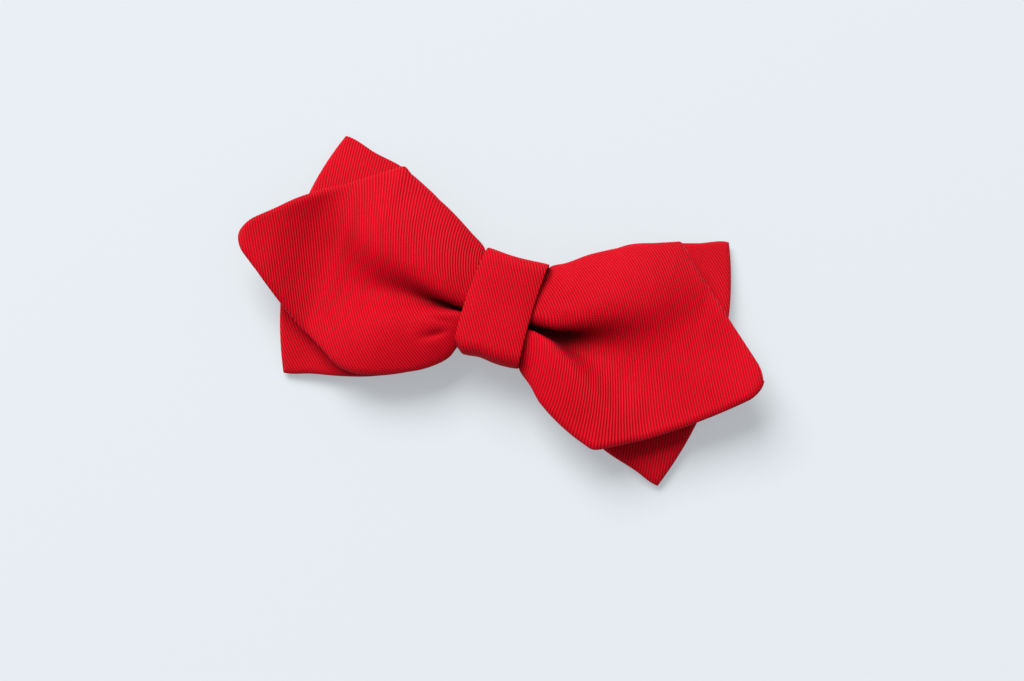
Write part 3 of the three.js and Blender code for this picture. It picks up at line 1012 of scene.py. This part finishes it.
@dataclass
class FrontBow(Bow):
    """The diamond-ended strip, with its deep creases and its soft folds.

    Attributes that it shares with every bow are explained there.

    Attributes:
        tip: How far each point stands from the tie's middle.
        tip_corner: The radius of a point's two corners.
        strip: Half the strip's full height.
        waist: Half its height where it is pinched.
        hidden_neck: How far inside the knot's edge its own edges start to open.
        arch_power: The power of the height's share by which a lobe falls to its edge.
        unevenness: Height of the cloth's slow waves.
        shoulders: Its four corners, by wing, with True for the upper one.
        reliefs: How its wings stand up.
        folds: The small folds under the left lobe.
    """

    name: str = "front_bow"
    cut: Cut = Cut(0.055, 0.124, 0.0051)
    rests_on: tuple[str, ...] = ("rear_bow_face_cloth",)
    bridged: float = 1.3
    tip: float = 60.3
    tip_corner: float = 2.4
    strip: float = 27.5
    waist: float = 9.6
    hidden_neck: float = 1.3
    arch_power: float = 2.4
    unevenness: float = 0.12
    shoulders: dict[tuple[Side, bool], Shoulder] = field(default_factory=lambda: {
        (Side.LEFT, True): Shoulder(
            x=31.8, y=25.7, bow=0.7, soft=2.0, tip=1.9, neck=12.7,
            opening=[(11, 15.4), (17.5, 19.6), (27.8, 24.9), (36, 30)],
        ),
        (Side.RIGHT, True): Shoulder(
            x=34.6, y=26.8, bow=-0.2, soft=1.0, tip=1.2, neck=12.8,
            opening=[(10.5, 14.8), (15.3, 18.4), (25.5, 23.6), (33.9, 26.6), (40, 29)],
        ),
        (Side.LEFT, False): Shoulder(
            x=29.0, y=24.0, bow=0.3, soft=4.0, tip=2.8, neck=13.3,
            opening=[(10.5, 16.8), (13.6, 18.9), (21.8, 22.3), (28, 23.8), (36, 26)],
        ),
        (Side.RIGHT, False): Shoulder(
            x=29.6, y=25.0, bow=1.2, soft=1.5, tip=3.2, neck=12.1,
            opening=[(10.5, 15.0), (13.8, 18.4), (22.1, 23.2), (28.5, 25.5), (36, 28)],
        ),
    })
    reliefs: dict[Side, Relief] = field(default_factory=lambda: {
        Side.LEFT: LEFT_RELIEF,
        Side.RIGHT: RIGHT_RELIEF,
    })
    folds: list[Fold] = field(default_factory=lambda: [
        Fold((-9, -8.5), -150, 9, 0.8, (0.8, 1.6), peak=0.4),
        Fold((-8, -7.0), 180, 10, 0.4, (0.8, 1.2), peak=0.4),
    ])

    def reach_end(self, side: Side) -> float:
        """From the knot's middle to the tip."""
        return self.tip - side.value * self.knot.x

    def half_height(self, side: Side, reach: np.ndarray, upper: bool) -> np.ndarray:
        """Distance from the middle line to the outline.

        A smooth curve opens it from the neck up to the shoulder. From there a straight line with an added
        parabola runs to the tip. The two are blended.

        Args:
            side: The wing.
            reach: Distances from the knot's middle.
            upper: True for the upper edge.

        Returns:
            The distances.
        """
        shoulder = self.shoulders[side, upper]
        x = np.abs(self.knot.x + side.value * reach)
        inside, outside = self.knot.half_width - self.hidden_neck, self.knot.half_width
        neck = [(0, self.waist), (inside, self.waist + 0.2), (outside, shoulder.neck)]
        flare = smooth_curve(reach, [*neck, *shoulder.opening])
        along = (x - shoulder.x) / (self.tip - shoulder.x)
        edge = shoulder.y + (shoulder.tip - shoulder.y) * along
        edge = edge + 4 * shoulder.bow * np.maximum(along * (1 - along), 0)
        return soft_min(flare, edge, shoulder.soft)

    def turned_in(self, side: Side, reach: np.ndarray) -> np.ndarray:
        """How far the tip's two rounded corners pull its edges in."""
        corner = self.tip_corner
        into = np.clip(np.abs(self.knot.x + side.value * reach) - self.tip + corner, 0, corner)
        return corner - np.sqrt(corner**2 - into**2)

    def uncut_half_height(self, reach: np.ndarray) -> np.ndarray:
        """The strip opens from the waist to its full height by the shoulders, and keeps it."""
        opened = np.maximum(reach - 5.8, 0) / 25
        return soft_min(self.waist + (self.strip - self.waist) * opened, np.full_like(reach, self.strip), 8)

    def surface(self, side: Side, reach: np.ndarray, across: np.ndarray) -> np.ndarray:
        """The face of one wing.

        Each lobe is an arch over the wing's height, from the edge up to its crest. The trough's share is the
        product of two S-curves, one at each flank, and its floor takes the arch's place by that share. Just
        above the trough the cloth also shifts towards it, so that the upper lobe overhangs.

        Args:
            side: The wing.
            reach: Distances from the knot's middle.
            across: From -1 at the lower edge to 1 at the upper.

        Returns:
            Points in millimetres.
        """
        half = np.where(across > 0, self.half_height(side, reach, True), self.half_height(side, reach, False))
        y = across * (half - self.turned_in(side, reach))
        across = y / half
        x = side.value * reach
        relief = self.reliefs[side].at(reach)
        edge = np.where(across > 0, relief["upper_edge"], relief["lower_edge"])
        upper_rim = relief["upper_rim"] * np.maximum(across, 0) ** 2
        lower_rim = relief["lower_rim"] * np.maximum(-across, 0) ** 2
        floor = relief["floor"] + upper_rim + lower_rim
        top, bottom = relief["upper_flank"], relief["lower_flank"]
        share = ease(y, np.minimum(bottom, -1), np.maximum(top, 0))
        crest = relief["lower_crest"] * (1 - share) + relief["upper_crest"] * share
        arch = edge + (crest - edge) * (1 - np.abs(across) ** self.arch_power)
        above, below = (y - top) / relief["upper_soft"], (bottom - y) / relief["lower_soft"]
        trough = 1 / (1 + np.exp(above)) / (1 + np.exp(below))
        height = arch + trough * (floor - arch)
        inside = 1 - ease(np.abs(across), 0.8, 1.0)
        for fold in self.folds:
            height = height - inside * fold.drop(x, y)
        lean = relief["overhang"] * np.exp(-(((above - 1) / 2) ** 2)) * inside
        waves = np.sin(x / 5.1 + y / 7.3) * np.sin(y / 4.7 - x / 9.1)
        height = height + self.unevenness * waves * ease(reach, 8, 20)
        return np.stack([self.knot.x + x, self.knot.y + y - lean, height], axis=-1)


@dataclass(frozen=True)
class Corner:
    """One corner of the rear bow, from the tie's middle.

    Attributes:
        x: How far out it stands.
        y: How high it stands.
        opening: The edge's height at distances from the knot's middle, up to just before the corner.
    """

    x: float
    y: float
    opening: Curve


@dataclass
class RearBow(Bow):
    """The square-cornered strip behind, whose corners show past the front bow and reach down to the table.

    Attributes that it shares with every bow are explained there.

    Attributes:
        end_bow: How far the middle of each end bows out past its corners.
        neck: Where its edges start to open, from the knot's middle.
        waist: Half its height up to there.
        strip: Half its full height.
        middle_level: Height of its face at the knot.
        end_drop: How much lower the middle of its ends lies.
        corner_drop: How much further down its corners hang.
        pinch_drop: How far its middle is pressed down beside the knot.
        ripple: Height of the slow waves along its edges.
        corners: By wing, with True for the upper one.
    """

    name: str = "rear_bow"
    cut: Cut = Cut(0.0605, 0.108, 0.0054)
    rests_on: tuple[str, ...] = ("clip_base_plate",)
    loft: float = 0.85
    end_bow: float = 5.4
    neck: float = 7.8
    waist: float = 9.0
    strip: float = 29.3
    middle_level: float = 6.75
    end_drop: float = 1.4
    corner_drop: float = 3.2
    pinch_drop: float = 1.0
    ripple: float = 0.2
    corners: dict[tuple[Side, bool], Corner] = field(default_factory=lambda: {
        (Side.LEFT, True): Corner(46.9, 30.2, [(12, 12.8), (17, 17.0), (24, 21.6), (33, 26.0), (39, 27.6)]),
        (Side.RIGHT, True): Corner(45.4, 30.2, [(12, 12.8), (17, 17.6), (24, 22.6), (31, 25.2), (38, 27.6)]),
        (Side.LEFT, False): Corner(42.9, 28.2, [(12, 15.0), (17, 20.4), (24, 24.0), (31, 25.8), (37, 26.8)]),
        (Side.RIGHT, False): Corner(44.6, 29.2, [(12, 12.8), (17, 17.6), (24, 22.0), (31, 25.4), (38, 27.4)]),
    })

    def reach_end(self, side: Side) -> float:
        """The grid runs to 1, a share of the way to the end."""
        return 1.0

    def half_height(self, side: Side, reach: np.ndarray, upper: bool) -> np.ndarray:
        """Distance from the middle line to an edge, by distance from the knot's middle."""
        corner = self.corners[side, upper]
        end = corner.x - side.value * self.knot.x
        neck = [(0, self.waist), (self.neck, self.waist + 0.1)]
        return smooth_curve(reach, [*neck, *corner.opening, (end, corner.y)])

    def uncut_half_height(self, reach: np.ndarray) -> np.ndarray:
        """The strip fans out all the way to its square end."""
        return self.waist + (self.strip - self.waist) * np.clip((reach - 5) / 36, 0, 1.2) ** 0.8

    def surface(self, side: Side, reach: np.ndarray, across: np.ndarray) -> np.ndarray:
        """The face of one wing.

        The end runs straight from one corner to the other, plus a bow of one less the square of the height's
        share, and each point stands its own share of the way to it. The face falls towards the table as the
        square of that share, and the edges fall further as the square of the height's share.

        Args:
            side: The wing.
            reach: Shares of the way from the knot's middle to the end.
            across: From -1 at the lower edge to 1 at the upper.

        Returns:
            Points in millimetres.
        """
        ends = [self.corners[side, upper].x - side.value * self.knot.x for upper in (False, True)]
        end = ends[0] + (ends[1] - ends[0]) * (across + 1) / 2
        out = reach * end
        opened = np.clip((out - self.neck) / (end - self.neck), 0, 1)
        half = np.where(
            across > 0,
            self.half_height(side, reach * ends[1], True),
            self.half_height(side, reach * ends[0], False),
        )
        middle = self.knot.y * (1 - ease(out, self.neck, 3 * self.neck))
        y = middle + across * half
        x = out + self.end_bow * opened * (1 - across**2)
        drop = self.end_drop * opened**2 + self.corner_drop * across**2 * opened**1.3
        pinched = 1 - ease(out, 2 * self.neck, 4 * self.neck)
        drop = drop + self.pinch_drop * pinched * (1 - across**2)
        ripple = self.ripple * np.sin(out / 6.3 + 1.3 * side.value) * across**2 * opened
        return np.stack([self.knot.x + side.value * x, y, self.middle_level - drop + ripple], axis=-1)


@dataclass
class KnotBand:
    """The band of twill wound once round the middle, lapped at the back.

    Attributes:
        knot: Its place and size.
        cut: The band, laid flat.
        strip_cut: The strip of interlining in it, laid flat.
        rests_on: What it is wound on.
        thickness: Of the pressed band.
        strip: Thickness of the interlining.
        margin: How far in from each edge the interlining stops.
        corner: The radius of its turns, seen along the bow.
        back: The height of its inner turn's outside at the back.
        lap: How far its ends overlap.
        drop: How far the outer end lies under the inner one at the back.
        tuck: How much nearer the middle its turns at the back stand.
        hang: How much further down its lower front turn stands.
        bulge: How far its left edge bulges at the face.
        inset: How much nearer the middle that edge starts.
        hollow: How far its right edge is drawn in at the face.
        outset: How much further out that edge starts.
        swell: How much its face is crowned.
        lift: How much higher its top turn stands at its middle, and how much more at its edges.
        sag: How much higher its lower turn stands left of its middle, and at its left edge.
        rib_angle: The ribs' direction at the face, in degrees from +X.
    """

    knot: Place
    cut: Cut = Cut(0.0146, 0.068)
    strip_cut: Cut = Cut(0.0116, 0.056)
    rests_on: tuple[str, ...] = ("front_bow_face_cloth",)
    thickness: float = 0.9
    strip: float = 0.3
    margin: float = 1.4
    corner: float = 2.6
    back: float = 2.55
    lap: float = 8.0
    drop: float = 1.2
    tuck: float = 2.6
    hang: float = 1.1
    bulge: float = 1.2
    inset: float = 0.5
    hollow: float = 0.5
    outset: float = 0.25
    swell: float = 0.35
    lift: tuple[float, float] = (0.3, 0.8)
    sag: tuple[float, float] = (0.5, 0.8)
    rib_angle: float = 120.0

    def dress(self, twill: bpy.types.Material, interlining: bpy.types.Material) -> None:
        """Args:
            twill: The band's finish.
            interlining: The strip's.
        """
        band = self.band(twill)
        settle(band, "knot_band")
        self.cut.declare(band, "stretched", self.rests_on)
        strip = self.stiffening(interlining)
        settle(strip, "knot_interlining")
        self.strip_cut.declare(strip, "stretched", self.rests_on)

    def path(self) -> np.ndarray:
        """The middle line of the band, once round, as (y, z) points from the knot's middle.

        It is straight runs and quarter circles, read off at even distances. Each point is then moved a few
        times to a weighted mean of itself and its neighbours, so that each turn starts gently, as cloth does.
        """
        half = self.knot.half_height - self.thickness / 2
        front = self.knot.front - self.thickness / 2
        flat, tucked = half - self.corner, half - self.corner - self.tuck
        lapped = self.back - self.drop
        quarter = np.linspace(0, np.pi / 2, 24)
        arcs = [
            (-tucked, self.back + self.corner, -np.pi / 2),
            (-flat - self.hang, front - self.corner, np.pi),
            (flat, front - self.corner, np.pi / 2),
            (tucked, lapped + self.corner, 0.0),
        ]
        corners = [
            np.stack([
                y + self.corner * np.cos(start - quarter),
                z + self.corner * np.sin(start - quarter),
            ], axis=1)
            for y, z, start in arcs
        ]
        line = np.concatenate([[[self.lap / 2, self.back]], *corners, [[-self.lap / 2, lapped]]])
        _, gone = path_frame(line)
        even = np.linspace(0, gone[-1], 321)
        line = np.stack([np.interp(even, gone, line[:, k]) for k in range(2)], axis=1)
        for _ in range(12):
            line[1:-1] = (line[:-2] + 2 * line[1:-1] + line[2:]) / 4
        return line

    def stiffening(self, material: bpy.types.Material) -> bpy.types.Object:
        """Makes the strip of interlining folded into the band, a plain ribbon on its inner side.

        Args:
            material: Its finish.

        Returns:
            The piece.
        """
        line = self.path()[24:-24]
        outward, gone = path_frame(line)
        half = self.knot.half_width - self.margin
        ring = np.array([(-half, -1), (0, -1), (half, -1), (half, 1), (0, 1), (-half, 1)])
        x = np.broadcast_to(ring[:, 0], (len(line), len(ring)))
        offset = ring[None, :, 1] * self.strip / 2 - self.thickness / 2 - self.strip
        grain = np.stack([x, np.broadcast_to(gone[:, None], x.shape)], axis=-1)
        return self.close("knot_interlining_strip", self.carry(line, outward, x, offset), grain, material)

    def band(self, material: bpy.types.Material) -> bpy.types.Object:
        """Makes the band as a closed ribbon with folded edges.

        Across its width the two sides stand apart by the band's thickness, closing at each edge as half an
        ellipse. At the face the band swells a little and its left edge bulges. Its top edge rises towards its
        two ends. Its lower edge runs as a soft S: a bell curve left of the middle, and a step at the left.

        Args:
            material: Its twill.

        Returns:
            The piece.
        """
        line = self.path()
        outward, gone = path_frame(line)
        turn = np.linspace(0, 2 * np.pi, 97)[:-1]
        side = np.cos(turn)
        share = np.sign(side) * np.abs(side) ** 0.6
        facing = ease(outward[:, 1], 0.2, 1.0)
        height = line[:, 0] / self.knot.half_height
        left = self.knot.half_width + facing * self.bulge * (1 - ((height + 0.25) / 1.25) ** 2) - self.inset
        right = self.knot.half_width - facing * self.hollow * (1 - height**2) + self.outset
        x = np.where(share < 0, share * left[:, None], share * right[:, None])
        fold = self.thickness / 2 * np.sin(turn)[None, :] * (1 - 0.25 * np.abs(share) ** 6)
        offset = fold + facing[:, None] * self.swell * (1 - share[None, :] ** 2)
        top = ease(line[:, 0], 0.3 * self.knot.half_height, self.knot.half_height)[:, None]
        low = ease(-line[:, 0], 0.6 * self.knot.half_height, self.knot.half_height)[:, None]
        rise = self.lift[0] + self.lift[1] * share[None, :] ** 2
        bell = self.sag[0] * np.exp(-(((share + 0.2) / 0.35) ** 2)) + self.sag[1] * ease(-share, 0.75, 1)
        points = self.carry(line, outward, x, offset)
        points[..., 1] += top * rise + low * bell[None, :]
        rib = math.radians(self.rib_angle - 90)
        length = (gone - gone[len(gone) // 2])[:, None] + 0 * x
        grain = np.stack([
            x * math.cos(rib) + length * math.sin(rib),
            length * math.cos(rib) - x * math.sin(rib),
        ], axis=-1)
        return self.close("knot_band_cloth", points, grain, material)

    def carry(self, line: np.ndarray, outward: np.ndarray, x: np.ndarray, offset: np.ndarray) -> np.ndarray:
        """Carries a section along the band's line: each of its points lies at x, and its offset outward.

        Args:
            line: The line's points, (steps, 2).
            outward: Its side directions, like line.
            x: Places along the bow from the knot's middle, (steps, turns).
            offset: Distances off the line, like x.

        Returns:
            Points in millimetres, (steps, turns, 3).
        """
        return np.stack([
            self.knot.x + x,
            self.knot.y + line[:, :1] + outward[:, :1] * offset,
            line[:, 1:] + outward[:, 1:] * offset,
        ], axis=-1)

    def close(
        self, name: str, points: np.ndarray, grain: np.ndarray, material: bpy.types.Material
    ) -> bpy.types.Object:
        """Joins the ribbon's rows round and closes both ends with a strip each.

        Args:
            name: The piece's name.
            points: (steps, turns, 3).
            grain: Cloth coordinates at the same points.
            material: Its finish.

        Returns:
            The piece.
        """
        steps, turns = points.shape[:2]
        number = np.arange(steps * turns).reshape(steps, turns)
        wrapped = np.concatenate([number, number[:, :1]], axis=1)
        half = turns // 2
        caps = [
            quads(np.stack([row[:half], row[: half - 1 : -1]]), flip)
            for row, flip in ((number[0], False), (number[-1], True))
        ]
        faces = np.concatenate([quads(wrapped, True), *caps])
        return make_mesh(name, points.reshape(-1, 3), faces, material, grain.reshape(-1, 2))


# ------------------------------------------------------------------ the clip


@dataclass
class Clip:
    """The sprung metal clip: the frame's own parts with their stamped edges softened.

    Attributes:
        edge: Width of a softened edge, in metres.
        weld: How near two of the frame's points are joined, in metres.
        flat_angle: Neighbouring triangles that turn less than this are one flat face, in degrees.
        edge_angle: Edges that turn more than this are softened, in degrees.
    """

    edge: float = 0.00009
    weld: float = 1e-6
    flat_angle: float = 1.0
    edge_angle: float = 35.0

    def dress(self, plated: bpy.types.Material, wire: bpy.types.Material) -> None:
        """Makes the stamped pieces and the pins, and gives the frame's springs their wire.

        Args:
            plated: The stamped parts' finish.
            wire: The springs' finish.
        """
        plate = self.soften("clip_base_plate", "base_plate_softened", plated)
        settle(plate, "clip_base_plate")
        for side in ("left", "right"):
            jaw = self.soften(f"{side}_jaw", f"{side}_jaw_softened", plated)
            settle(jaw, f"{side}_jaw", f"{side}_jaw_lever")
            pin = self.soften(f"{side}_hinge_pin", f"{side}_pin_softened", plated)
            settle(pin, f"{side}_hinge_pin")
            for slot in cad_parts[f"{side}_spring"].material_slots:
                slot.material = wire

    def soften(self, node: str, name: str, material: bpy.types.Material) -> bpy.types.Object:
        """Copies a frame part, joins its loose triangles and rounds its sharp edges.

        Args:
            node: The frame's part.
            name: The piece's name.
            material: Its finish.

        Returns:
            The piece.
        """
        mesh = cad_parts[node].data.copy()
        mesh.name = name
        mesh.materials.clear()
        mesh.materials.append(material)
        piece = bpy.data.objects.new(name, mesh)
        bpy.context.scene.collection.objects.link(piece)
        weld = piece.modifiers.new("weld", "WELD")
        weld.merge_threshold = self.weld
        flat = piece.modifiers.new("flat", "DECIMATE")
        flat.decimate_type = "DISSOLVE"
        flat.angle_limit = math.radians(self.flat_angle)
        bevel = piece.modifiers.new("edge", "BEVEL")
        bevel.width = self.edge
        bevel.segments = 2
        bevel.limit_method = "ANGLE"
        bevel.angle_limit = math.radians(self.edge_angle)
        bevel.harden_normals = True
        return piece


# ------------------------------------------------------------------ the studio


@dataclass(frozen=True)
class Lamp:
    """A square lamp that faces the tie.

    Attributes:
        name: Its name.
        place: Where it hangs, in metres.
        side: Its side, in metres.
        power: In watts.
        tint: Its colour.
    """

    name: str
    place: tuple[float, float, float]
    side: float
    power: float
    tint: tuple[float, float, float]

    def hang(self) -> None:
        """Hangs the lamp in its place, turned to the tie."""
        data = bpy.data.lights.new(self.name, "AREA")
        data.shape = "SQUARE"
        data.size = self.side
        data.energy = self.power
        data.color = self.tint
        lamp = bpy.data.objects.new(self.name, data)
        lamp.location = self.place
        lamp.rotation_mode = "QUATERNION"
        lamp.rotation_quaternion = (-Vector(self.place)).to_track_quat("-Z", "Y")
        bpy.context.scene.collection.objects.link(lamp)


@dataclass(frozen=True)
class Studio:
    """The pale table, the soft light and the camera.

    Attributes:
        azimuth: The camera's turn about the tie, in degrees.
        elevation: Its height above the table, in degrees.
        distance: From the point it looks at.
        target: That point.
        lens: Focal length.
        sensor: The width that it is meant for.
        table_half: Half the table's side.
        sky_tint: The sky's colour.
        sky_strength: Its brightness.
        window: The one lamp, big and soft, low on the left.
    """

    azimuth: float = 16.5
    elevation: float = 75.0
    distance: float = 376.3
    target: tuple[float, float, float] = (4.77, -7.98, 8.0)
    lens: float = 59.77
    sensor: float = 36.0
    table_half: float = 2500.0
    sky_tint: tuple[float, float, float] = (0.93, 0.97, 1.0)
    sky_strength: float = 0.5
    window: Lamp = Lamp("window", (-2.5, 2.2, 4.2), 3.8, 610.0, (1.0, 0.99, 0.97))

    def build(self) -> None:
        """Sets up the camera, the table and the light."""
        self.camera()
        self.table()
        self.light()

    def camera(self) -> None:
        """Sets the camera on its line of sight, upright."""
        a, e = math.radians(self.azimuth), math.radians(self.elevation)
        back = Vector((math.sin(a) * math.cos(e), -math.cos(a) * math.cos(e), math.sin(e)))
        data = bpy.data.cameras.new("camera")
        data.lens = self.lens
        data.sensor_width = self.sensor
        data.clip_start, data.clip_end = 0.01, 20.0
        camera = bpy.data.objects.new("camera", data)
        camera.location = (Vector(self.target) + back * self.distance) * MM
        camera.rotation_mode = "QUATERNION"
        camera.rotation_quaternion = (-back).to_track_quat("-Z", "Y")
        bpy.context.scene.collection.objects.link(camera)
        bpy.context.scene.camera = camera

    def table(self) -> None:
        """Lays the table top, a flat square with its middle under the tie."""
        half = self.table_half
        corners = np.array([[-half, -half, 0], [half, -half, 0], [half, half, 0], [-half, half, 0]])
        make_mesh("table_top", corners, np.array([[0, 1, 2, 3]]), TableFinish().material())

    def light(self) -> None:
        """Lights the tie with an even pale sky and the window."""
        world = bpy.data.worlds.new("soft_sky")
        world.use_nodes = True
        sky = world.node_tree.nodes["Background"]
        sky.inputs["Color"].default_value = (*self.sky_tint, 1)
        sky.inputs["Strength"].default_value = self.sky_strength
        bpy.context.scene.world = world
        self.window.hang()


# ------------------------------------------------------------------ putting it together


def main() -> None:
    """Builds the studio and then the tie: the two bows, the knot round them, and the clip behind."""
    logging.basicConfig(level=logging.INFO, format="%(message)s")
    bpy.context.scene.view_settings.view_transform = "Standard"
    Studio().build()

    twill = TwillFinish().material()
    interlining = InterliningFinish().material()
    plated = SteelFinish("nickel_plate", (0.72, 0.7, 0.66), 0.16).material()
    wire = SteelFinish("spring_wire", (0.5, 0.5, 0.52), 0.25).material()

    knot = Place.of_knot()
    for cloth in (RearBow(knot), FrontBow(knot), KnotBand(knot)):
        cloth.dress(twill, interlining)
    Clip().dress(plated, wire)


if __name__ == "__main__":
    main()
